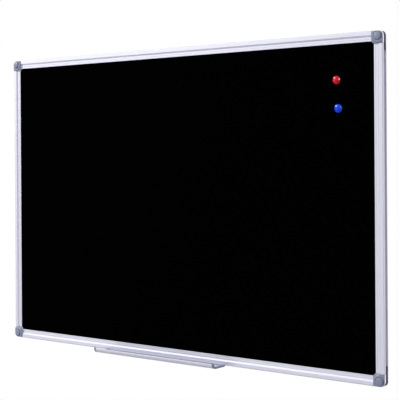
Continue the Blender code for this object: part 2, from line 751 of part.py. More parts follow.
def main():
    """Clear the scene and build the chalkboard."""
    for item in list(bpy.data.objects):
        bpy.data.objects.remove(item, do_unlink=True)
    finishes = {
        "anodised_aluminium": material("anodised_aluminium", (0.62, 0.61, 0.72), 0.35, 0.9),
        "silver_elbow": material("silver_elbow", (0.60, 0.60, 0.68), 0.40, 0.6),
        "grey_plastic": material("grey_plastic", (0.22, 0.23, 0.32), 0.45, 0.0),
        "dark_key": material("dark_key", (0.05, 0.05, 0.08), 0.50, 0.0),
        "chalk_enamel": material("chalk_enamel", (0.003, 0.003, 0.003), 0.80, 0.0),
        "fibreboard": material("fibreboard", (0.33, 0.22, 0.12), 0.85, 0.0),
        "backing_metal": material("backing_metal", (0.50, 0.51, 0.53), 0.45, 0.9),
        "zinc_screw": material("zinc_screw", (0.55, 0.55, 0.56), 0.35, 0.9),
        "red_gloss": material("red_gloss", (0.55, 0.01, 0.02), 0.15, 0.0),
        "blue_gloss": material("blue_gloss", (0.01, 0.06, 0.80), 0.15, 0.0),
        "ferrite": material("ferrite", (0.06, 0.06, 0.06), 0.60, 0.2),
    }
    board = empty("board_frame")
    build_panel(finishes, board)
    build_frame(finishes, board)
    build_corners(finishes, board)
    build_tray(finishes)
    build_magnets(finishes)


main()
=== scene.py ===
"""Looks of the magnetic chalkboard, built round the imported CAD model.

Lengths are in millimetres, and as_mesh turns them into metres; only the lamps and the
studio are in metres. Two flat coordinates describe the frame, as in the CAD source: u runs
inward from the frame's outer edge, and v runs back from its front plane. At a corner, a
and b are the two u directions. Every piece is a closed surface with its place in its mesh.
"""
import json
import logging
import math
from dataclasses import dataclass
from enum import Enum
from functools import cache, partial
from typing import Any, Callable, Optional, Sequence

import bmesh
import bpy
import numpy as np
from bpy.types import Material, Mesh, Node, NodeSocket, NodeTree, Object
from mathutils import Matrix, Vector
from mathutils.geometry import tessellate_polygon

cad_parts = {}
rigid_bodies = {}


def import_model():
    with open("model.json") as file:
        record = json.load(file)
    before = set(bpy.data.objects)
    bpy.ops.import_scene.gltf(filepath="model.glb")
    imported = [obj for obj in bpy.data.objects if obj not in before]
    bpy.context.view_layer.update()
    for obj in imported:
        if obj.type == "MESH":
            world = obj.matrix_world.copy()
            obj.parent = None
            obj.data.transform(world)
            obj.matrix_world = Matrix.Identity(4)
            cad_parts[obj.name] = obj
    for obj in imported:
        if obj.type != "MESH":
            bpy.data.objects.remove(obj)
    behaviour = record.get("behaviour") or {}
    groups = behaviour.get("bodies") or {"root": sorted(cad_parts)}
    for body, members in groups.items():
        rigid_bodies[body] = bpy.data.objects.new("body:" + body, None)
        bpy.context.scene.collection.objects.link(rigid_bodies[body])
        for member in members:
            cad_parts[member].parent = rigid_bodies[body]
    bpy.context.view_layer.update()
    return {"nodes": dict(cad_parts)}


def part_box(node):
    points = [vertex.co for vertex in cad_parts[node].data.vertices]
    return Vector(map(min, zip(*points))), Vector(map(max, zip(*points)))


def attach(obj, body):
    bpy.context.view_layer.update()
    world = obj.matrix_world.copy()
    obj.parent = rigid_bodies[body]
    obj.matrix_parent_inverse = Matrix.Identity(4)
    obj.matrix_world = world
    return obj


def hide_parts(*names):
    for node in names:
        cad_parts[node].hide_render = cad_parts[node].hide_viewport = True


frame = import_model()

log = logging.getLogger("chalkboard")
NodeMaker = Callable[..., Node]

MM = 0.001
MERGE_DISTANCE = 0.000001
SMOOTH_ANGLE = math.radians(32)
BACK = np.array([0.0, 1.0, 0.0])
FIT_GAP = 0.3
CUT_OVERRUN = 2.0
SHOULDER = 0.12
EDGE_BREAK = 0.15
OUTLINE_POINTS = 4000


class Operation(Enum):
    """What an exact Boolean does with its tool."""

    JOIN = "UNION"
    CUT = "DIFFERENCE"


class Run(Enum):
    """The way that an extrusion runs, and its die lines with it."""

    ACROSS = (1, 0, 0)
    UPRIGHT = (0, 0, 1)


class Side(Enum):
    """A side of the frame: its CAD node, the way inward and the way that it runs."""

    TOP = ("rail_top", (0.0, 0.0, -1.0), Run.ACROSS)
    BOTTOM = ("rail_bottom", (0.0, 0.0, 1.0), Run.ACROSS)
    LEFT = ("stile_left", (1.0, 0.0, 0.0), Run.UPRIGHT)
    RIGHT = ("stile_right", (-1.0, 0.0, 0.0), Run.UPRIGHT)


class Corner(Enum):
    """A corner of the frame: which way it lies from the middle, along x and along z."""

    TL = (-1, 1)
    TR = (1, 1)
    BL = (-1, -1)
    BR = (1, -1)

    @property
    def tag(self) -> str:
        """The corner's short name, as in the CAD nodes' names."""
        return self.name.lower()


# Meshes


def rounded(corners: Sequence, radii: Any, steps: int = 6, closed: bool = True) -> np.ndarray:
    """Round the corners of a flat outline.

    An arc starts radius * tan(turn / 2) before its corner, and its point s of the way
    round is that start turned by s times the turn about the arc's centre. A short straight
    shoulder before and after each arc keeps the flat sides flat in the shading.

    Args:
        corners: The sharp corners, in order.
        radii: One radius for all corners, or one for each.
        steps: Steps of each arc.
        closed: False for an open line, which keeps its two end points.

    Returns:
        The outline's points.
    """
    points = np.asarray(corners, float)
    radius = np.broadcast_to(np.asarray(radii, float), len(points))[:, None]
    before = points - np.roll(points, 1, axis=0)
    after = np.roll(before, -1, axis=0)
    length = np.linalg.norm(after, axis=1, keepdims=True)
    before = before / np.roll(length, 1, axis=0)
    after = after / length
    cross = before[:, :1] * after[:, 1:] - before[:, 1:] * after[:, :1]
    turn = np.arctan2(cross, (before * after).sum(axis=1, keepdims=True))
    if not closed:
        turn[[0, -1]] = 0
    reach = radius * np.tan(np.abs(turn) / 2)
    slack = np.clip(length - reach - np.roll(reach, -1, axis=0), 0, None)
    lead_out = np.minimum(SHOULDER, slack / 3)
    lead_in = np.roll(lead_out, 1, axis=0)
    start = points - before * reach
    centre = start + np.sign(turn) * radius * np.c_[-before[:, 1], before[:, 0]]
    spoke = start - centre
    angle = turn * np.linspace(0, 1, steps + 1)
    cos, sin = np.cos(angle), np.sin(angle)
    arcs = np.stack([
        centre[:, :1] + spoke[:, :1] * cos - spoke[:, 1:] * sin,
        centre[:, 1:] + spoke[:, :1] * sin + spoke[:, 1:] * cos,
    ], axis=2)
    first = (start - before * lead_in)[:, None]
    last = (arcs[:, -1] + after * lead_out)[:, None]
    whole = np.concatenate([first, arcs, last], axis=1)
    if not closed:
        return np.concatenate([points[:1], whole[1:-1].reshape(-1, 2), points[-1:]])
    return whole.reshape(-1, 2)


def quads(rows: int, columns: int, wrap_rows: bool, wrap_columns: bool,
          first: int = 0) -> list[list[int]]:
    """Faces of a grid of points: cell (i, j) joins its four neighbouring points.

    Args:
        rows: Rows of the grid.
        columns: Columns of the grid.
        wrap_rows: Whether the last row joins the first.
        wrap_columns: Whether the last column joins the first.
        first: Index of the grid's first point.

    Returns:
        Four point indices a face.
    """
    i = np.arange(rows if wrap_rows else rows - 1)[:, None]
    j = np.arange(columns if wrap_columns else columns - 1)[None, :]
    next_i = (i + 1) % rows * columns
    next_j = (j + 1) % columns
    cells = np.broadcast_arrays(i * columns + j, i * columns + next_j, next_i + next_j,
                                next_i + j)
    return (np.stack(cells, axis=-1).reshape(-1, 4) + first).tolist()


def as_mesh(points: np.ndarray, faces: list) -> Mesh:
    """Make a closed mesh in metres, its doubles merged and its faces turned outward.

    Args:
        points: Points in millimetres, in an array of any shape that ends in 3.
        faces: Point indices of each face.

    Returns:
        The mesh.
    """
    mesh = bpy.data.meshes.new("shape")
    mesh.from_pydata((points.reshape(-1, 3) * MM).tolist(), [], faces)
    bm = bmesh.new()
    bm.from_mesh(mesh)
    bmesh.ops.remove_doubles(bm, verts=bm.verts, dist=MERGE_DISTANCE)
    stray = [edge for edge in bm.edges if not edge.link_faces]
    bmesh.ops.delete(bm, geom=stray, context="EDGES")
    bmesh.ops.recalc_face_normals(bm, faces=bm.faces)
    bm.to_mesh(mesh)
    bm.free()
    return mesh


def carried(section: np.ndarray, origins: np.ndarray, inward: np.ndarray) -> np.ndarray:
    """Carry a (u, v) section along a path: point = origin + u * inward + v * back.

    Args:
        section: Points (u, v) of the section.
        origins: The path's points in the front plane, one a station.
        inward: The way that u runs, one a station.

    Returns:
        A grid of points, stations by section points.
    """
    return (origins[:, None] + section[None, :, :1] * inward[:, None]
            + section[None, :, 1:] * BACK)


def solid(grid: np.ndarray) -> Mesh:
    """Close a row of rings into a solid with a flat face at each end.

    Args:
        grid: Points, rings by points of a ring.

    Returns:
        The mesh.
    """
    rows, columns = grid.shape[:2]
    ends = [list(range(columns)), list(range((rows - 1) * columns, rows * columns))]
    return as_mesh(grid, quads(rows, columns, False, True) + ends)


def hollow(outer: np.ndarray, bore: np.ndarray) -> Mesh:
    """Close two rows of rings into a tube, with a pierced flat face at each end.

    Args:
        outer: Points of the outside, rings by points of a ring.
        bore: Points of the bore, as many rings.

    Returns:
        The mesh.
    """
    (rows, around), inside = outer.shape[:2], bore.shape[1]
    start = rows * around
    faces = quads(rows, around, False, True) + quads(rows, inside, False, True, start)
    for row in (0, rows - 1):
        index = np.r_[row * around + np.arange(around),
                      start + row * inside + np.arange(inside)]
        loops = [[Vector(point) for point in ring[row].tolist()] for ring in (outer, bore)]
        faces += index[np.array(tessellate_polygon(loops))].tolist()
    return as_mesh(np.concatenate([outer.reshape(-1, 3), bore.reshape(-1, 3)]), faces)


def turned(profile: Sequence, centre: tuple = (0.0, 0.0), steps: int = 96) -> Mesh:
    """Turn an (r, v) profile, which starts and ends on the axis, about a line along Y.

    The point at angle t is (centre + r cos t, v, centre + r sin t).

    Args:
        profile: Points (r, v).
        centre: The axis' place (x, z).
        steps: Steps of the full turn.

    Returns:
        The mesh.
    """
    t = np.linspace(0, math.tau, steps, endpoint=False)[:, None]
    r, v = np.asarray(profile, float).T[:, None]
    grid = np.stack([centre[0] + r * np.cos(t), np.broadcast_to(v, (steps, v.size)),
                     centre[1] + r * np.sin(t)], axis=-1)
    return as_mesh(grid, quads(steps, v.size, True, False))


def laid(outlines: Any, levels: Any) -> np.ndarray:
    """Lay one flat (a, b) outline at several levels, or each outline at its own.

    Args:
        outlines: Points (a, b) of an outline, or of a row of them.
        levels: The levels.

    Returns:
        A ring of points (a, level, b) for each level.
    """
    plans = np.asarray(outlines, float)
    rings = np.broadcast_arrays(plans[..., 0], np.reshape(levels, (-1, 1)), plans[..., 1])
    return np.stack(rings, axis=-1)


def linked(name: str, data: Any) -> Object:
    """Put a new object into the scene.

    Args:
        name: Name of the object.
        data: Its mesh, lamp or camera.

    Returns:
        The object.
    """
    made = bpy.data.objects.new(name, data)
    bpy.context.scene.collection.objects.link(made)
    return made


def carve(mesh: Mesh, steps: Sequence[tuple]) -> Mesh:
    """Join and cut closed meshes by exact Booleans, in order.

    Args:
        mesh: The mesh to start from, which is used up.
        steps: Pairs of an Operation and the tool's mesh.

    Returns:
        The finished mesh.
    """
    made = [linked("body", mesh)]
    for operation, tool_mesh in steps:
        made.append(linked("tool", tool_mesh))
        modifier = made[0].modifiers.new(operation.name, "BOOLEAN")
        modifier.operation = operation.value
        modifier.solver = "EXACT"
        modifier.object = made[-1]
    finished = bpy.data.meshes.new_from_object(
        made[0].evaluated_get(bpy.context.evaluated_depsgraph_get()))
    used = [item.data for item in made]
    bpy.data.batch_remove(made)
    bpy.data.batch_remove(used)
    return finished


def moved(mesh: Mesh, shift: Sequence, scale: tuple = (1, 1, 1)) -> Mesh:
    """Copy a mesh to another place: point = scale * point + shift, axis by axis.

    Args:
        mesh: The mesh to copy.
        shift: Where the origin goes, in millimetres.
        scale: 1 or -1 for each axis.

    Returns:
        The copy, its faces still outward.
    """
    copy = mesh.copy()
    points = np.zeros(len(copy.vertices) * 3)
    copy.vertices.foreach_get("co", points)
    points = points.reshape(-1, 3) * np.array(scale) + np.array(shift) * MM
    copy.vertices.foreach_set("co", points.ravel())
    if np.prod(scale) < 0:
        copy.flip_normals()
    return copy


def middle(node_name: str) -> tuple[float, float]:
    """The middle (x, z) of a CAD node, in millimetres."""
    low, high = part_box(node_name)
    return (low.x + high.x) / 2 / MM, (low.z + high.z) / 2 / MM


# Finishes


def linear(colour: str) -> tuple[float, float, float, float]:
    """Turn an sRGB hex colour into Blender's linear colour.

    Args:
        colour: Six hex digits after a hash.

    Returns:
        Linear red, green and blue, and 1 for alpha.
    """
    srgb = np.array([int(colour[i:i + 2], 16) / 255 for i in (1, 3, 5)])
    value = np.where(srgb <= 0.04045, srgb / 12.92, ((srgb + 0.055) / 1.055) ** 2.4)
    return (*value.tolist(), 1.0)


def add_node(tree: NodeTree, kind: str, inputs: Optional[dict] = None,
             **settings: Any) -> Node:
    """Add one node with its settings, values and links.

    Args:
        tree: The node tree.
        kind: The node's type, without ShaderNode before it.
        inputs: For each input socket, a value, or what is linked to it: an output socket,
            or a node, which gives its first output.
        **settings: The node's own settings.

    Returns:
        The node.
    """
    made = tree.nodes.new("ShaderNode" + kind)
    for name, value in settings.items():
        setattr(made, name, value)
    for name, value in (inputs or {}).items():
        if isinstance(value, Node):
            value = value.outputs[0]
        if isinstance(value, NodeSocket):
            tree.links.new(value, made.inputs[name])
        else:
            made.inputs[name].default_value = value
    return made


def emptied(owner: Any) -> NodeMaker:
    """Give a new material or world a node tree with no nodes in it.

    Args:
        owner: The material or world.

    Returns:
        add_node for that tree.
    """
    owner.use_nodes = True
    owner.node_tree.nodes.clear()
    return partial(add_node, owner.node_tree)


@dataclass(frozen=True)
class Finish:
    """A finish on Principled: two close colours in a pattern, roughness and fine relief.

    The pattern is noise or cells, grain_mm wide on each axis. Its value takes the colour
    from colour to second, the roughness from roughness to roughness + spread, and stands
    relief_mm high. The slot names one of the record's material slots, and is not used here.
    """

    name: str
    slot: str
    colour: str
    second: str
    roughness: float
    spread: float
    grain_mm: tuple[float, float, float]
    relief_mm: float
    metallic: float = 0.0
    specular: float = 0.5
    cells: bool = False

    def pattern(self, node: NodeMaker) -> Node:
        """Add the pattern on Object coordinates.

        Args:
            node: add_node for the material's tree.

        Returns:
            A node whose first output runs from 0 to 1.
        """
        scale = tuple(1 / (grain * MM) for grain in self.grain_mm)
        sized = node("Mapping", {"Vector": node("TexCoord").outputs["Object"], "Scale": scale})
        if self.cells:
            cell = node("TexVoronoi", {"Vector": sized, "Scale": 1.0})
            return node("SeparateColor", {"Color": cell.outputs["Color"]})
        noise = node("TexNoise", {"Vector": sized, "Scale": 1.0})
        return node("MapRange", {"Value": noise, "From Min": 0.3, "From Max": 0.7})

    @cache
    def material(self) -> Material:
        """Make the material, with its own nodes only. It is made once and then kept.

        Returns:
            The material.
        """
        made = bpy.data.materials.new(self.name)
        node = emptied(made)
        pattern = self.pattern(node)
        tint = node("Mix", {"Factor": pattern, 6: linear(self.colour), 7: linear(self.second)},
                    data_type="RGBA")
        rough = node("MapRange", {"Value": pattern, "To Min": self.roughness,
                                  "To Max": self.roughness + self.spread})
        relief = node("Bump", {"Height": pattern, "Strength": 1.0,
                               "Distance": self.relief_mm * MM})
        shader = node("BsdfPrincipled", {
            "Base Color": tint.outputs[2], "Roughness": rough, "Normal": relief,
            "Metallic": self.metallic, "Specular IOR Level": self.specular})
        node("OutputMaterial", {"Surface": shader})
        return made


def add_piece(name: str, mesh: Mesh, finish: Finish, node_name: str,
              body: str = "board") -> None:
    """Shade a mesh smooth across its shallow edges and put it in as a finished piece.

    Args:
        name: Name of the piece.
        mesh: Its mesh, with its place in it.
        finish: Its finish.
        node_name: The CAD node that it stands for.
        body: The body that it rides on.
    """
    mesh.name = name
    mesh.shade_smooth()
    mesh.set_sharp_from_angle(angle=SMOOTH_ANGLE)
    mesh.materials.clear()
    mesh.materials.append(finish.material())
    piece = linked(name, mesh)
    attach(piece, body)
    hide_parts(node_name)
    log.info("%s: %d faces, on %s", name, len(mesh.polygons), body)


def extruded(run: Run) -> Finish:
    """Satin anodised aluminium as it leaves the die, with its die lines along one axis.

    The etched oxide scatters about half of the light, so the metal is only half metallic.
    Real die lines are about 0.1 mm wide, too fine to show, so they are drawn 0.7 mm wide.

    Args:
        run: The way that the extrusion runs.

    Returns:
        The finish.
    """
    grain = tuple(160.0 if along else 0.7 for along in run.value)
    return Finish("anodised_aluminium_" + run.name.lower(), "anodised_aluminium", "#DADAE8",
                  "#E1E1EF", 0.34, 0.08, grain, 0.0012, metallic=0.55)


# Chalkboard enamel on steel, sprayed and baked matt: it hardly reflects at all. Its real
# grit of 0.05 mm is drawn 0.6 mm wide.
CHALK_ENAMEL = Finish("chalk_enamel", "chalk_enamel", "#000000", "#020202", 0.85, 0.1,
                      (0.6, 0.6, 0.6), 0.004, specular=0.005)
# Raw hardboard, pressed from wood fibres: brown, dull and faintly streaked
FIBREBOARD = Finish("pressed_fibreboard", "fibreboard", "#9A7A52", "#7E603C", 0.85, 0.1,
                    (14, 3, 3), 0.03)
# Hot-dip galvanised steel sheet: spangles about 12 mm across, each with its own gloss
GALVANISED = Finish("galvanised_steel", "backing_metal", "#B4B7BA", "#C9CBCD", 0.3, 0.2,
                    (12, 12, 12), 0.0, metallic=1.0, cells=True)
# Silver lacquer on a moulded corner: fine metal flake, drawn 0.8 mm wide, a soft shine
SILVER_LACQUER = Finish("silver_lacquer", "silver_elbow", "#E6E6F0", "#EEEEF6", 0.3, 0.08,
                        (0.8, 0.8, 0.8), 0.001, metallic=0.8)
# ABS moulded in a spark-eroded tool: mid grey with a blue cast, satin. The grain of 0.2 mm
# is drawn 0.7 mm wide.
GREY_ABS = Finish("spark_eroded_abs", "grey_plastic", "#80859E", "#8B90A9", 0.36, 0.08,
                  (0.7, 0.7, 0.7), 0.006)
# Polypropylene strip: darker, waxy and smooth
DARK_STRIP = Finish("dark_polypropylene", "dark_key", "#303042", "#38384C", 0.5, 0.06,
                    (1.5, 1.5, 1.5), 0.004, specular=0.2)
# Bright zinc plating on steel screws: bluish white with faint yellow patches
BRIGHT_ZINC = Finish("bright_zinc", "zinc_screw", "#C3CAD2", "#D2D0C2", 0.2, 0.1,
                     (1.2, 1.2, 1.2), 0.002, metallic=1.0)
# Polystyrene buttons moulded in a polished tool: deep colour under a hard gloss
RED_GLOSS = Finish("gloss_polystyrene_red", "red_gloss", "#CC0A26", "#D2102C", 0.14, 0.02,
                   (3, 3, 3), 0.001, specular=0.22)
BLUE_GLOSS = Finish("gloss_polystyrene_blue", "blue_gloss", "#0A40EC", "#0E48F2", 0.14, 0.02,
                    (3, 3, 3), 0.001, specular=0.22)
# Sintered ferrite: charcoal grey, granular and dull
FERRITE = Finish("sintered_ferrite", "ferrite", "#3A3A3D", "#4A4A4C", 0.5, 0.15,
                 (0.5, 0.5, 0.5), 0.01)


# Sub-assemblies


@dataclass
class RailSection:
    """The section of the extruded rail that runs round the board, in (u, v)."""

    face: float = 18.0
    depth: float = 13.0
    band: float = 7.5
    step_run: float = 3.0
    step_drop: float = 2.0
    shadow_groove: float = 14.3
    shadow_width: float = 0.9
    shadow_depth: float = 0.35
    wall: float = 1.4
    lip: float = 1.3
    groove_floor: float = 11.5
    rear_flange: float = 4.5
    slot_start: float = 4.2
    slot_end: float = 10.9
    slot_lip: float = 0.9
    slot_floor: float = 2.2
    slot_undercut: float = 0.7
    slot_round: float = 0.12
    chamber_outside: float = 3.5
    chamber_inside: float = 10.2
    chamber_round: float = 0.3
    die_radii: tuple[float, ...] = (2.2, 0.4, 0.35, 0.1, 0.1, 0.1, 0.65, 0.65, 0.2, 0.2, 0.2,
                                    0.3, 0.5, 0.2, 0.15, 0.1, 0.15, 0.15, 0.1, 0.15, 0.2)

    @property
    def rear_inside(self) -> float:
        """Level of the rear wall's inner face."""
        return self.depth - self.wall

    @property
    def lip_back(self) -> float:
        """Level of the back of the lip that holds the panel."""
        return self.step_drop + self.lip

    @property
    def slot_front(self) -> float:
        """Level of the front of the slot's wide part."""
        return self.slot_start - self.slot_undercut

    @property
    def chamber_middle(self) -> float:
        """Where the screws stand across the chamber, as u."""
        return (self.chamber_outside + self.chamber_inside) / 2

    def slot_corners(self, inset: float, mouth: float) -> list[tuple[float, float]]:
        """Corners of the T-slot in the outer side, or of a strip that lies in it.

        Args:
            inset: How far they are drawn in from the slot's walls.
            mouth: Where it ends towards the outside, as u.

        Returns:
            Points (u, v), from the front of the mouth to its rear.
        """
        lip, floor = self.slot_lip + inset, self.slot_floor - inset
        start, end = self.slot_start + inset, self.slot_end - inset
        front, rear = self.slot_front + inset, self.rear_inside - inset
        return [(mouth, start), (lip, start), (lip, front), (floor, front), (floor, rear),
                (lip, rear), (lip, end), (mouth, end)]

    def slot(self, inset: float, mouth: float) -> np.ndarray:
        """The outline through slot_corners, rounded."""
        return rounded(self.slot_corners(inset, mouth), self.slot_round)

    def outline(self) -> np.ndarray:
        """The outer boundary, its corners rounded as the die rounds them.

        Returns:
            Points (u, v).
        """
        half = self.shadow_width / 2
        flange = self.groove_floor + self.rear_flange
        return rounded([
            (0, 0), (self.band, 0), (self.band + self.step_run, self.step_drop),
            (self.shadow_groove - half, self.step_drop),
            (self.shadow_groove, self.step_drop + self.shadow_depth),
            (self.shadow_groove + half, self.step_drop),
            (self.face, self.step_drop), (self.face, self.lip_back),
            (self.groove_floor, self.lip_back), (self.groove_floor, self.rear_inside),
            (flange, self.rear_inside), (flange, self.depth), (0, self.depth),
            *reversed(self.slot_corners(0.0, 0.0)),
        ], self.die_radii)

    def chamber(self) -> np.ndarray:
        """The hollow inside the rail, one wall behind its step.

        Returns:
            Points (u, v).
        """
        slope = math.atan2(self.step_drop, self.step_run)
        bend = self.band - self.wall * math.tan(slope / 2)
        drop = (self.chamber_inside - bend) * math.tan(slope)
        return rounded([
            (self.chamber_outside, self.wall), (bend, self.wall),
            (self.chamber_inside, self.wall + drop), (self.chamber_inside, self.rear_inside),
            (self.chamber_outside, self.rear_inside),
        ], self.chamber_round)


@dataclass
class TappingScrew:
    """A countersunk tapping screw, its head at the rear, and the hole round it."""

    rail: RailSection
    length: float = 7.5
    shank: float = 1.45
    core: float = 1.15
    head: float = 2.7
    rim: float = 0.2
    head_break: float = 0.08
    end_break: float = 0.05
    point: float = 1.6
    pitch: float = 0.9
    thread_fade: float = 0.5
    recess_width: float = 0.6
    recess_reach: float = 1.7
    recess_depth: float = 0.9
    recess_slope: float = 0.12
    setback: float = 12.0
    thread_rings: int = 64
    head_rings: int = 30
    steps: int = 48

    @property
    def head_front(self) -> float:
        """Level of the front of the head's rim."""
        return self.rail.depth - 2 * self.rim

    @property
    def neck(self) -> float:
        """Level where the shank meets the head's cone."""
        return self.head_front - (self.head - self.shank)

    def hole(self, back: float, shank_end: float, tip: float) -> Mesh:
        """The countersunk hole, one gap wider than the screw all round.

        Args:
            back: Level that the hole's wide end runs out to.
            shank_end: Level where the straight part ends.
            tip: Level of the hole's bottom.

        Returns:
            A closed tool, on the screw's own axis.
        """
        wide, narrow = self.head + FIT_GAP, self.shank + FIT_GAP
        return turned([(0, back), (wide, back), (wide, self.head_front), (narrow, self.neck),
                       (narrow, shank_end), (0, tip)], steps=self.steps)

    def mesh(self) -> Mesh:
        """The screw: a thread that winds round the shank and a cross recess in the head.

        Radius along the shank = core + (shank - core) * ridge(v / pitch - t / turn), where
        ridge rises and falls as a triangle, and fades out under the head and at the point.
        The head's rear face sinks by the recess depth where either arm of the cross covers
        a point, with sloping sides.

        Returns:
            The mesh, on the screw's own axis.
        """
        tip, rear = self.rail.depth - self.length, self.rail.depth - self.rim
        thread = self.shank - self.core
        levels = np.linspace(tip + self.end_break, self.neck, self.thread_rings)
        taper = np.clip((levels - tip) / self.point, 0.0, 1.0)
        fade = np.clip((self.neck - levels) / self.thread_fade, 0.0, 1.0) * taper
        radii = np.r_[0.0, self.core * taper + thread * (1 - fade) * taper,
                      self.head, self.head,
                      np.linspace(self.head - self.head_break, 0.0, self.head_rings)]
        v = np.r_[tip, levels, self.head_front, rear - self.end_break,
                  np.full(self.head_rings, rear)]
        ridge_share = np.r_[0.0, fade, np.zeros(2 + self.head_rings)]
        t = np.linspace(0, math.tau, self.steps, endpoint=False)[:, None]
        phase = (v / self.pitch - t / math.tau) % 1.0
        r = radii + thread * (1 - np.abs(2 * phase - 1)) * ridge_share
        x, z = r * np.cos(t), r * np.sin(t)
        arms = [np.clip((self.recess_width / 2 - np.abs(across)) / self.recess_slope, 0, 1)
                for across in (x, z)]
        inside = np.clip((self.recess_reach - r) / self.recess_slope, 0, 1)
        sunk = self.recess_depth * np.maximum(*arms) * inside * (v >= rear)
        return as_mesh(np.stack([x, v - sunk, z], axis=-1),
                       quads(self.steps, v.size, True, False))


@dataclass
class FramePart:
    """What the rails and the corners share: section, screws and the frame's sizes."""

    rail: RailSection
    screw: TappingScrew
    half_width: float = 450.0
    half_height: float = 300.0
    middle_z: float = -291.0
    size: float = 22.0


@dataclass
class RailFrame(FramePart):
    """The four extruded rails that hold the panel. They stop at the corners."""

    def rail_mesh(self, side: Side) -> Mesh:
        """One rail: the section carried straight along its side, drilled at both ends.

        Args:
            side: The side of the frame.

        Returns:
            The mesh.
        """
        inward, run = side.value[1:]
        away, half = self.half_height, self.half_width
        if run is Run.UPRIGHT:
            away, half = half, away
        half -= self.size + FIT_GAP
        facing, along = np.array([inward, inward]), np.array(run.value)
        edge = np.array([0.0, -self.rail.depth, self.middle_z]) - away * facing[0]
        origins = edge + np.array([-half, half])[:, None] * along
        body = hollow(carried(self.rail.outline(), origins, facing),
                      carried(self.rail.chamber(), origins, facing))
        through = self.rail.rear_inside - CUT_OVERRUN
        drill = self.screw.hole(self.rail.depth + CUT_OVERRUN, through, through)
        reach = half - self.screw.setback
        spots = [edge + end * along + self.rail.chamber_middle * facing[0]
                 for end in (-reach, reach)]
        return carve(body, [(Operation.CUT, moved(drill, spot)) for spot in spots])

    def build(self) -> None:
        """Make the four rails."""
        for side in Side:
            node_name, run = side.value[0], side.value[-1]
            add_piece(node_name + "_extrusion", self.rail_mesh(side), extruded(run), node_name)


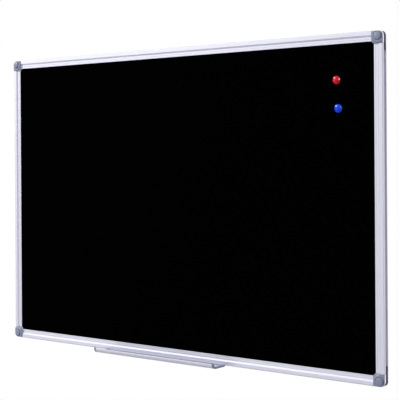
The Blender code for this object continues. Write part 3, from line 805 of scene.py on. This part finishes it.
@dataclass
class CornerSet(FramePart):
    """Elbow, bent key, cap, screw cover and two screws at each corner, in (a, v, b)."""

    radius: float = 9.0
    inner_radii: tuple[float, ...] = (0.5, 0.8, 0.8, 0.5)
    elbow_chamfer: float = 3.0
    elbow_round: float = 1.1
    elbow_rear_round: float = 0.4
    seat: float = 1.0
    leg: float = 26.0
    lead_in: float = 1.2
    leg_wall: float = 1.6
    hole_radius: float = 2.75
    sink_radius: float = 5.0
    key_reach: float = 34.0
    key_recess: float = 0.3
    cap_inset: float = 0.9
    cap_chamfer: float = 4.0
    cap_round: float = 0.5
    plate_proud: float = 0.4
    boss_proud: float = 1.8
    boss_radius: float = 13.4
    boss_slope: float = 2.4
    dish_radius: float = 8.0
    dish_depth: float = 0.8
    dish_slope: float = 1.1
    bore_lead: float = 0.9
    relief_radii: tuple[float, ...] = (0.1, 0.2, 0.3, 0.35, 0.35, 0.3, 0.1)
    collar_wall: float = 1.1
    collar_depth: float = 1.9
    cover_radius: float = 5.6
    cover_wall: float = 1.0
    cover_head: float = 7.2
    cover_crown: float = 4.0
    cover_dome: float = 0.25
    cover_rise: float = 1.7
    cover_lift: float = 0.2
    cover_break: float = 0.08
    round_steps: int = 288
    corner_steps: int = 16
    relief_steps: int = 5
    path_steps: int = 25
    edge_steps: int = 8
    rim_steps: int = 6
    crown_steps: int = 20
    shoulder_steps: int = 14

    @property
    def centre(self) -> tuple[float, float]:
        """The middle (a, b) of the boss, the cover and the wall screw's hole."""
        return self.radius, self.radius

    @property
    def bore(self) -> float:
        """Radius of the collar's bore."""
        return self.cover_radius + FIT_GAP

    @property
    def cap_back(self) -> float:
        """Level of the back of the cap's plate."""
        return self.seat - FIT_GAP

    @property
    def collar_back(self) -> float:
        """Level of the back of the collar and of the cover."""
        return self.cap_back + self.collar_depth

    def plan(self, inset: float, drawn_in: float, chamfer: float) -> np.ndarray:
        """A corner plan: rounded outside, chamfered at the panel.

        Drawing it in by d moves each side in by d, and a chamfer's ends by d * tan(pi / 8)
        more.

        Args:
            inset: How far the two outer sides stand in from the frame's edge.
            drawn_in: How far every side is drawn in besides.
            chamfer: Size of the chamfer at the panel.

        Returns:
            Points (a, b).
        """
        near, far = inset + drawn_in, self.size - drawn_in
        cut = self.size - chamfer - drawn_in * math.tan(math.pi / 8)
        return rounded([(near, near), (far, near), (far, cut), (cut, far), (near, far)],
                       [self.radius - near, *self.inner_radii], steps=self.corner_steps)

    def path(self, reach: float) -> tuple[np.ndarray, np.ndarray]:
        """The way round a corner: straight in, round the arc, and straight out.

        On the arc at angle t the origin is centre - radius * (sin t, cos t), and inward is
        (sin t, cos t).

        Args:
            reach: How far the straight ends run from the corner's outer edges.

        Returns:
            The origins and the inward ways, one a station.
        """
        t = np.linspace(0, math.pi / 2, self.path_steps)
        inward = laid(np.stack([np.sin(t), np.cos(t)], axis=1), 0.0)[0]
        origins = np.array([self.radius, 0.0, self.radius]) - self.radius * inward
        return (np.concatenate([[(reach, 0.0, 0.0)], origins, [(0.0, 0.0, reach)]]),
                np.concatenate([inward[:1], inward, inward[-1:]]))

    def leg_block(self, across: tuple[float, float], along: tuple[float, float],
                  levels: tuple[float, float], upright: bool) -> Mesh:
        """A bar along one leg of the elbow, or the pocket in it, with a narrowed end.

        Args:
            across: Its near and far sides across the leg.
            along: Where it starts and ends along the leg.
            levels: Its front and back levels.
            upright: Whether the leg runs along b instead of a.

        Returns:
            The mesh.
        """
        (low, high), (start, end) = across, along
        lead = min(self.lead_in, (high - low) / 3)
        outline = [(start, low), (end - lead, low), (end, low + lead), (end, high - lead),
                   (end - lead, high), (start, high)]
        if upright:
            outline = [(b, a) for a, b in outline]
        return solid(laid(rounded(outline, EDGE_BREAK), levels))

    def elbow_mesh(self) -> Mesh:
        """The elbow: a rounded block and two hollow legs, with slot, rebate and hole cut.

        The block is a row of plans. Round the front edge, plan k at angle t from 0 to 90
        degrees is drawn in by round * (1 - sin t) at the level seat + round * (1 - cos t),
        and the rear edge mirrors that.

        Returns:
            The mesh, in (a, v, b).
        """
        rail, screw = self.rail, self.screw
        turn = np.linspace(0, math.pi / 2, self.edge_steps)
        inset, rise = 1 - np.sin(turn), 1 - np.cos(turn)
        drawn = np.r_[self.elbow_round * inset, self.elbow_rear_round * inset[::-1]]
        level = np.r_[self.seat + self.elbow_round * rise,
                      rail.depth - self.elbow_rear_round * rise[::-1]]
        plans = [self.plan(0.0, by, self.elbow_chamfer) for by in drawn]
        near, far = rail.groove_floor, self.size + CUT_OVERRUN
        rebate = laid([(near, near), (far, near), (far, far), (near, far)],
                      (rail.lip_back, rail.rear_inside))
        slot = carried(rail.slot(0.0, -CUT_OVERRUN), *self.path(far))
        socket, floor = self.bore + self.collar_wall + FIT_GAP, self.collar_back + FIT_GAP
        sink = floor + self.sink_radius - self.hole_radius
        front, rear = self.seat - CUT_OVERRUN, rail.depth + CUT_OVERRUN
        bore = turned([(0, front), (socket, front), (socket, floor), (self.sink_radius, floor),
                       (self.hole_radius, sink), (self.hole_radius, rear), (0, rear)],
                      self.centre)
        low, high = rail.chamber_outside + FIT_GAP, rail.chamber_inside - FIT_GAP
        slope = rail.step_drop / rail.step_run
        leg_front = rail.wall + (rail.chamber_inside - rail.band) * slope + 2 * FIT_GAP
        leg_back, end = rail.rear_inside - FIT_GAP, self.size + self.leg
        pilot = self.size + FIT_GAP + screw.setback
        pocket = (pilot + screw.shank + FIT_GAP + self.leg_wall,
                  end - self.lead_in - self.leg_wall)
        tip = rail.depth - screw.length - CUT_OVERRUN
        drill = screw.hole(rail.depth - screw.rim + CUT_OVERRUN, tip + screw.point, tip)
        steps = [(Operation.CUT, tool) for tool in (solid(rebate), solid(slot), bore)]
        for upright in (False, True):
            steps.append((Operation.JOIN, self.leg_block(
                (low, high), (self.size - CUT_OVERRUN, end), (leg_front, leg_back), upright)))
        for upright in (False, True):
            spot = (rail.chamber_middle, 0.0, pilot)[::1 if upright else -1]
            steps.append((Operation.CUT, moved(drill, spot)))
            steps.append((Operation.CUT, self.leg_block(
                (low + self.leg_wall, high - self.leg_wall), pocket,
                (0.0, leg_back - self.leg_wall), upright)))
        return carve(solid(laid(plans, level)), steps)

    def key_mesh(self) -> Mesh:
        """The bent key: a T-shaped section carried round the corner in the slots."""
        section = self.rail.slot(FIT_GAP, self.key_recess)
        return solid(carried(section, *self.path(self.key_reach)))

    def cap_reach(self, drawn_in: float, angle: np.ndarray) -> np.ndarray:
        """How far the cap's plan lies from its centre, read between points along it.

        Args:
            drawn_in: How far the plan is drawn in.
            angle: The angles to read it at.

        Returns:
            The distances.
        """
        outline = self.plan(self.cap_inset, drawn_in, self.cap_chamfer)
        loop = np.concatenate([outline, outline[:1]])
        length = np.r_[0, np.cumsum(np.linalg.norm(np.diff(loop, axis=0), axis=1))]
        place = np.linspace(0, length[-1], OUTLINE_POINTS, endpoint=False)
        a, b = (np.interp(place, length, values) - self.radius for values in loop.T)
        return np.interp(angle, np.arctan2(b, a), np.hypot(a, b), period=math.tau)

    def cap_mesh(self) -> Mesh:
        """The cap: a plate with a round boss, a dished ring and a collar.

        It is a grid of rings about the boss' centre. On its front, ring j lies at the
        smaller of its own radius and the plan's distance at that angle, and its level is
        the front profile at that distance. Then the rings go round the front edge, down
        the side, in along the back, and round the collar to the bore, and the last joins
        the first.

        Returns:
            The mesh, in (a, v, b).
        """
        angle = np.linspace(-math.pi, math.pi, self.round_steps, endpoint=False)
        front, dish, bore = -self.boss_proud, self.dish_depth - self.boss_proud, self.bore
        profile = rounded([
            (bore, dish + self.bore_lead), (bore, dish),
            (self.dish_radius - self.dish_slope, dish), (self.dish_radius, front),
            (self.boss_radius - self.boss_slope, front), (self.boss_radius, -self.plate_proud),
            (2 * self.size, -self.plate_proud),
        ], self.relief_radii, self.relief_steps, closed=False)
        rim = self.cap_reach(self.cap_round, angle)
        rim_level = np.interp(rim, *profile.T)
        rings = [(np.minimum(r, rim), np.where(r < rim, v, rim_level)) for r, v in profile]
        rings += [(self.cap_reach(self.cap_round * (1 - math.sin(t)), angle),
                   rim_level + self.cap_round * (1 - math.cos(t)))
                  for t in np.linspace(0, math.pi / 2, self.rim_steps)[1:]]
        back, end, lead = self.cap_back, self.collar_back, EDGE_BREAK
        outside = bore + self.collar_wall
        rings += [(rings[-1][0], back - lead), (self.cap_reach(lead, angle), back),
                  (outside, back), (outside, end - lead), (outside - lead, end),
                  (bore + lead, end), (bore, end - lead)]
        r, v = (np.stack([np.broadcast_to(ring[i], angle.shape) for ring in rings])
                for i in (0, 1))
        grid = np.stack([self.radius + r * np.cos(angle), v, self.radius + r * np.sin(angle)],
                        axis=-1)
        return as_mesh(grid, quads(len(r), self.round_steps, True, True))

    def cover_mesh(self) -> Mesh:
        """The cover: a hollow stem under a round head with a soft shoulder.

        The crown rises by dome * (1 - (r / crown radius) ** 2), and the shoulder is a
        quarter of an ellipse from the crown's edge to the head's rim.

        Returns:
            The mesh, in (a, v, b).
        """
        rim = -self.boss_proud - self.cover_lift
        top = rim - self.cover_rise
        r = np.linspace(0, self.cover_crown, self.crown_steps)
        crown = np.stack([r, top - self.cover_dome * (1 - (r / self.cover_crown) ** 2)], axis=1)
        t = np.linspace(0, math.pi / 2, self.shoulder_steps)[1:]
        shoulder = np.stack([
            self.cover_crown + (self.cover_head - self.cover_crown) * np.sin(t),
            top + (rim - top) * (1 - np.cos(t)),
        ], axis=1)
        inner, roof = self.cover_radius - self.cover_wall, top + self.cover_wall
        rest = rounded([(self.cover_head, rim), (self.cover_radius, rim),
                        (self.cover_radius, self.collar_back), (inner, self.collar_back),
                        (inner, roof), (0, roof)], self.cover_break, closed=False)
        return turned(np.concatenate([crown, shoulder, rest]), self.centre)

    def build(self) -> None:
        """Make the pieces of all four corners."""
        parts = (
            ("elbow_moulding_", self.elbow_mesh(), SILVER_LACQUER, "corner_elbow_"),
            ("bent_key_", self.key_mesh(), DARK_STRIP, "corner_key_"),
            ("cap_moulding_", self.cap_mesh(), GREY_ABS, "corner_cap_"),
            ("cover_plug_", self.cover_mesh(), GREY_ABS, "screw_cover_"),
        )
        screw = self.screw.mesh()
        for corner in Corner:
            tag, (across, up) = corner.tag, corner.value
            spot = (across * self.half_width, -self.rail.depth,
                    self.middle_z + up * self.half_height)
            for stem, mesh, finish, node_stem in parts:
                body = "cover_" + tag if stem == "cover_plug_" else "board"
                add_piece(stem + tag, moved(mesh, spot, (-across, 1, -up)), finish,
                          node_stem + tag, body)
            for node_name in ("rail_screw_" + tag, "stile_screw_" + tag):
                x, z = middle(node_name)
                add_piece("tapping_" + node_name, moved(screw, (x, -self.rail.depth, z)),
                          BRIGHT_ZINC, node_name)


@dataclass
class ChalkTray:
    """The tray: a curved extrusion with two barbed legs, and its two end caps."""

    rail: RailSection
    centre: float = -32.0
    length: float = 300.0
    bottom: float = -591.0
    reach: float = 36.0
    wall: float = 1.3
    front_radius: float = 7.8
    lip_rise: float = 1.2
    leg_wall: float = 1.0
    leg_round: float = 0.1
    heel_round: float = 0.25
    cap_width: float = 4.2
    kerb: float = 0.8
    tongue: float = 4.0
    tongue_step: float = 0.2
    tongue_lead: float = 0.3
    back_gap: float = 0.6
    back_round: float = 0.2
    end_round: float = 0.6
    end_steps: int = 7
    arc_steps: int = 12

    @property
    def under(self) -> float:
        """Height of the tray's underside from the frame's bottom edge."""
        return -FIT_GAP - self.wall

    def band_corners(self, outer: float, inner: float, rise: float) -> tuple[list, list]:
        """Corners and radii of the band's front: floor, quarter circle and lip.

        Args:
            outer: Offset of its outer side from the tray's outside.
            inner: Offset of its inner side.
            rise: How far the lip stands above the quarter circle.

        Returns:
            The corners (u, v) and their radii.
        """
        half = (inner - outer) / 2
        crest = self.under + self.front_radius + rise + half
        near, far = -self.reach + inner, -self.reach + outer
        return ([(self.under + outer, far), (crest, far), (crest, near),
                 (self.under + inner, near)],
                [self.front_radius - outer, half, half, self.front_radius - inner])

    def channel_section(self) -> np.ndarray:
        """The extrusion's section: the band, and the legs that hold in the T-slot.

        Returns:
            Points (u, v).
        """
        rail, wall, floor = self.rail, self.leg_wall, -FIT_GAP
        front, rear = rail.slot_start + FIT_GAP, rail.slot_end - FIT_GAP
        barb, top = rail.slot_lip + FIT_GAP, rail.slot_floor - FIT_GAP
        corners, radii = self.band_corners(0.0, self.wall, self.lip_rise)
        legs = [
            (floor, front), (barb, front), (barb, rail.slot_front + FIT_GAP), (top, front),
            (top, front + wall), (floor, front + wall), (floor, rear - wall),
            (top, rear - wall), (top, rear), (barb, rail.rear_inside - FIT_GAP), (barb, rear),
        ]
        return rounded(corners + legs + [(self.under, rear)],
                       radii + [self.leg_round] * len(legs) + [self.heel_round],
                       steps=self.arc_steps)

    def end_section(self, offsets: tuple, drawn: float) -> np.ndarray:
        """The J-shaped section of an end cap or its tongue, always as many points.

        Args:
            offsets: Offsets of its outer and inner sides from the tray's outside, the
                level of its back end, and the rise of its lip.
            drawn: How far its outline is drawn in.

        Returns:
            Points (u, v).
        """
        outer, inner, back, rise = offsets
        outer, inner, back = outer + drawn, inner - drawn, back - drawn
        corners, radii = self.band_corners(outer, inner, rise)
        return rounded(corners + [(self.under + inner, back), (self.under + outer, back)],
                       radii + [self.back_round, self.back_round], steps=self.arc_steps)

    def run(self, *places: float) -> tuple[np.ndarray, np.ndarray]:
        """Stations along the tray at some x places, for a section whose u runs up."""
        origins = np.array([(x, -self.rail.depth, self.bottom) for x in places])
        return origins, np.broadcast_to([0.0, 0.0, 1.0], origins.shape)

    def end_mesh(self, side: int) -> Mesh:
        """An end cap, as a row of J-shaped rings from the tongue's end to the outside.

        Round the outer edge, ring k at angle t from 0 to 90 degrees is drawn in by
        round * (1 - cos t) and stands round * (1 - sin t) short of the outer face.

        Args:
            side: -1 for the left end, 1 for the right.

        Returns:
            The mesh.
        """
        half = self.length / 2
        shoulder = half - self.cap_width
        inner, step = self.wall + FIT_GAP + self.kerb, self.tongue_step
        tongue = (self.wall + FIT_GAP, inner - step, -self.back_gap - step,
                  self.lip_rise - step)
        whole = (0.0, inner, -self.back_gap, self.lip_rise)
        start = shoulder - self.tongue
        stations = [(start, tongue, EDGE_BREAK), (start + self.tongue_lead, tongue, 0.0),
                    (shoulder, tongue, 0.0), (shoulder, whole, step),
                    (shoulder + step, whole, 0.0)]
        for t in np.linspace(0, math.pi / 2, self.end_steps):
            stations.append((half - self.end_round * (1 - math.sin(t)), whole,
                             self.end_round * (1 - math.cos(t))))
        return solid(np.concatenate([
            carried(self.end_section(offsets, drawn), *self.run(self.centre + side * place))
            for place, offsets, drawn in stations]))

    def build(self) -> None:
        """Make the tray's three pieces."""
        half = self.length / 2 - self.cap_width - FIT_GAP
        channel = carried(self.channel_section(),
                          *self.run(self.centre - half, self.centre + half))
        add_piece("tray_extrusion", solid(channel), extruded(Run.ACROSS), "tray_channel",
                  "tray")
        for word, side in (("left", -1), ("right", 1)):
            add_piece("tray_end_" + word, self.end_mesh(side), GREY_ABS,
                      "tray_end_cap_" + word, "tray")


@dataclass
class ButtonMagnet:
    """A glossy domed button over a disc magnet."""

    colour: str
    gloss: Finish
    back: float = -9.7
    radius: float = 7.5
    height: float = 5.5
    skirt: float = 1.8
    skirt_round: float = 1.0
    rim_round: float = 0.4
    wall: float = 2.0
    disc: float = 2.5
    disc_break: float = 0.3
    crown_steps: int = 28
    bend_steps: int = 8
    bend_start: int = -5

    def cap_profile(self) -> np.ndarray:
        """The button: a ball's crown that bends over into a skirt, hollow behind.

        The ball's radius is (r ** 2 + rise ** 2) / (2 * rise), and the crown's point at
        angle t from the axis is (R sin t, R - R cos t) behind its top. The bend takes the
        place of the crown's last points, from bend_start on.

        Returns:
            Points (r, v).
        """
        rise = self.height - self.skirt
        ball = (self.radius ** 2 + rise ** 2) / (2 * rise)
        t = np.linspace(0, math.asin(self.radius / ball), self.crown_steps)
        crown = np.stack([ball * np.sin(t), -self.height + ball * (1 - np.cos(t))], axis=1)
        bend = rounded([crown[self.bend_start], crown[-1], (self.radius, 0.0)],
                       self.skirt_round, self.bend_steps, closed=False)
        pocket, floor = self.radius - self.wall, -self.disc - 2 * FIT_GAP
        behind = rounded([(self.radius, -self.skirt / 2), (self.radius, 0.0), (pocket, 0.0),
                          (pocket, floor), (0.0, floor)], self.rim_round, closed=False)
        profile = np.concatenate([crown[:self.bend_start], bend[:-1], behind[1:]])
        return profile + [0.0, self.back]

    def disc_profile(self) -> np.ndarray:
        """The disc magnet, its edges broken, one gap behind the button's back."""
        radius, rear = self.radius - self.wall - FIT_GAP, self.back - FIT_GAP
        return rounded([(0.0, rear - self.disc), (radius, rear - self.disc), (radius, rear),
                        (0.0, rear)], self.disc_break, closed=False)

    def build(self) -> None:
        """Make the button and its disc."""
        for name, part, profile, finish in (
                ("_button", "_cap", self.cap_profile(), self.gloss),
                ("_disc_magnet", "_disc", self.disc_profile(), FERRITE)):
            node_name = "magnet_" + self.colour + part
            add_piece(self.colour + name, turned(profile, middle(node_name)), finish,
                      node_name, self.colour + "_magnet")


@dataclass
class Panel:
    """The three sheets in the frame, which keep the CAD's flat shapes."""

    finishes: tuple[tuple[str, Finish], ...] = (
        ("writing_sheet", CHALK_ENAMEL), ("panel_core", FIBREBOARD),
        ("backing_sheet", GALVANISED))

    def build(self) -> None:
        """Give each sheet its material."""
        for node_name, finish in self.finishes:
            made = finish.material()
            for slot in frame["nodes"][node_name].material_slots:
                slot.material = made
            log.info("%s: dressed in %s", node_name, made.name)


# Studio


@dataclass(frozen=True)
class Lamp:
    """A soft box: where it stands and aims, its size in metres and its radiance."""

    name: str
    place: tuple[float, float, float]
    aim: tuple[float, float, float]
    size: tuple[float, float]
    radiance: float
    shows_in_gloss: bool = True
    lights_only: tuple[str, ...] = ()

    def build(self) -> None:
        """Make the lamp, of the power radiance * pi * area.

        One that lights only some pieces lights them in gloss alone.
        """
        light = bpy.data.lights.new(self.name, "AREA")
        light.shape = "RECTANGLE"
        light.size, light.size_y = self.size
        light.energy = self.radiance * math.pi * self.size[0] * self.size[1]
        made = linked(self.name, light)
        made.location = self.place
        away = Vector(self.aim) - Vector(self.place)
        made.rotation_euler = away.to_track_quat("-Z", "Y").to_euler()
        made.visible_camera = False
        made.visible_glossy = self.shows_in_gloss
        made.visible_diffuse = not self.lights_only
        if self.lights_only:
            lit = bpy.data.collections.new("lit_by_" + self.name)
            for name in self.lights_only:
                lit.objects.link(bpy.data.objects[name])
            made.light_linking.receiver_collection = lit


@dataclass
class Studio:
    """Camera, lamps, world and floor. The camera is fitted to the frame's corners."""

    camera_place: tuple[float, float, float] = (1.321, -1.6401, -0.2031)
    yaw: float = 37.739
    roll: float = -0.345
    focal_length: float = 1087.28
    picture_size: float = 400.0
    principal_row: float = 157.39
    sensor: float = 36.0
    diffuse_strength: float = 0.2
    dark_side: tuple[float, float, float] = (0.33, -0.94, -0.04)
    dark_share: float = 0.6
    dark_angles: tuple[float, float] = (12.0, 34.0)
    floor_level: float = -1.5
    floor_size: float = 30.0
    floor_colour: str = "#DCDCDE"
    floor_roughness: float = 0.8
    pale_reach: float = 2.2
    white_reach: float = 3.3
    lamps: tuple[Lamp, ...] = (
        Lamp("softbox_left", (-1.75, -1.5, 0.85), (-0.1, 0.0, -0.25), (2.4, 2.0), 0.8),
        Lamp("softbox_right", (2.6, -0.4, -0.1), (0.4, 0.0, -0.25), (1.2, 1.6), 0.8),
        Lamp("key_from_upper_left", (-2.7, -3.0, 3.5), (0.0, 0.0, -0.3), (1.85, 1.85), 23.0,
             shows_in_gloss=False),
        Lamp("sheen_from_left", (-1.9, -1.5, 1.2), (0.45, 0.0, -0.1), (0.8, 0.8), 24.0,
             lights_only=tuple(stem + corner.tag for corner in Corner
                               for stem in ("cap_moulding_", "cover_plug_"))),
        Lamp("highlight_from_left", (-1.33, -0.35, 1.02), (0.36, 0.0, -0.09), (0.6, 0.6), 58.0,
             lights_only=("red_button", "blue_button")),
        Lamp("highlight_from_right", (1.82, -1.1, 0.75), (0.36, 0.0, -0.09), (0.7, 0.7), 50.0,
             lights_only=("red_button", "blue_button")),
    )

    def make_camera(self) -> None:
        """Stand the camera so that it sees the board as the photograph does.

        The view runs along (-sin yaw, cos yaw, 0), turned about itself by roll, and the
        shift brings the principal point to its row.
        """
        yaw, roll = math.radians(self.yaw), math.radians(self.roll)
        ahead = Vector((-math.sin(yaw), math.cos(yaw), 0))
        right = ahead.cross(Vector((0, 0, 1)))
        up = right.cross(ahead)
        across = math.cos(roll) * right + math.sin(roll) * up
        upward = math.cos(roll) * up - math.sin(roll) * right
        data = bpy.data.cameras.new("camera")
        data.sensor_width = self.sensor
        data.lens = self.focal_length / self.picture_size * self.sensor
        data.shift_y = (self.principal_row - self.picture_size / 2) / self.picture_size
        camera = linked("camera", data)
        turn = Matrix((across, upward, -ahead)).transposed().to_4x4()
        camera.matrix_world = Matrix.Translation(self.camera_place) @ turn
        bpy.context.scene.camera = camera

    def seen_directly(self, node: NodeMaker) -> Node:
        """1 for rays from the camera, from gloss and through glass, and 0 for the rest.

        Args:
            node: add_node for the tree of the world or material.

        Returns:
            The node that gives it.
        """
        rays = node("LightPath").outputs
        near = node("Math", {0: rays["Is Camera Ray"], 1: rays["Is Glossy Ray"]},
                    operation="MAXIMUM")
        return node("Math", {0: near, 1: rays["Is Transmission Ray"]}, operation="MAXIMUM")

    def make_world(self) -> None:
        """A white surround that shows at strength 1 and lights a little softer.

        Gloss sees one darker patch in it, round the direction dark_side, where the dark
        half of a studio stands behind the camera.
        """
        world = bpy.context.scene.world = bpy.data.worlds.new("white_studio")
        node = emptied(world)
        strength = node("MapRange", {"Value": self.seen_directly(node),
                                     "To Min": self.diffuse_strength})
        towards = node("VectorMath", {0: node("TexCoord").outputs["Generated"],
                                      1: self.dark_side}, operation="DOT_PRODUCT")
        inner, outer = (math.cos(math.radians(angle)) for angle in self.dark_angles)
        patch = node("MapRange", {"Value": towards.outputs["Value"], "From Min": outer,
                                  "From Max": inner, "To Max": self.dark_share},
                     interpolation_type="SMOOTHSTEP")
        gloss = node("LightPath").outputs["Is Glossy Ray"]
        dark = node("Math", {0: patch, 1: gloss}, operation="MULTIPLY")
        left = node("Math", {0: strength, 1: dark}, operation="SUBTRACT")
        sky = node("Background", {"Color": linear("#FFFFFF"), "Strength": left})
        node("OutputWorld", {"Surface": sky})

    def make_floor(self) -> None:
        """A plain pale floor that turns to the white of the surround further out.

        Its whiteness rises from 0 to 1 between two distances from the middle, and the
        floor under the board stays a plain surface that takes the shadow.
        """
        made = bpy.data.materials.new("pale_matt_floor")
        node = emptied(made)
        flat = node("VectorMath", {0: node("TexCoord").outputs["Object"], 1: (1.0, 1.0, 0.0)},
                    operation="MULTIPLY")
        away = node("VectorMath", {0: flat}, operation="LENGTH").outputs["Value"]
        fade = node("MapRange", {"Value": away, "From Min": self.pale_reach,
                                 "From Max": self.white_reach}, interpolation_type="SMOOTHSTEP")
        share = node("Math", {0: fade, 1: self.seen_directly(node)}, operation="MULTIPLY")
        matt = node("BsdfPrincipled", {"Base Color": linear(self.floor_colour),
                                       "Roughness": self.floor_roughness})
        white = node("Emission", {"Color": linear("#FFFFFF"), "Strength": 1.0})
        mixed = node("MixShader", {0: share, 1: matt, 2: white})
        node("OutputMaterial", {"Surface": mixed})
        half = self.floor_size / 2
        mesh = bpy.data.meshes.new("floor")
        square = [(-half, -half), (half, -half), (half, half), (-half, half)]
        mesh.from_pydata([(x, y, self.floor_level) for x, y in square], [], [(0, 1, 2, 3)])
        mesh.materials.append(made)
        linked("floor", mesh)

    def build(self) -> None:
        """Make the studio."""
        bpy.context.scene.view_settings.view_transform = "Standard"
        self.make_camera()
        self.make_world()
        self.make_floor()
        for lamp in self.lamps:
            lamp.build()
        log.info("studio: %d lamps", len(self.lamps))


def main() -> None:
    """Build every piece of the board, and the studio round it."""
    logging.basicConfig(level=logging.INFO, format="%(name)s: %(message)s")
    rail = RailSection()
    screw = TappingScrew(rail)
    for part in (Panel(), RailFrame(rail, screw), CornerSet(rail, screw), ChalkTray(rail),
                 ButtonMagnet("red", RED_GLOSS), ButtonMagnet("blue", BLUE_GLOSS), Studio()):
        part.build()


if __name__ == "__main__":
    main()
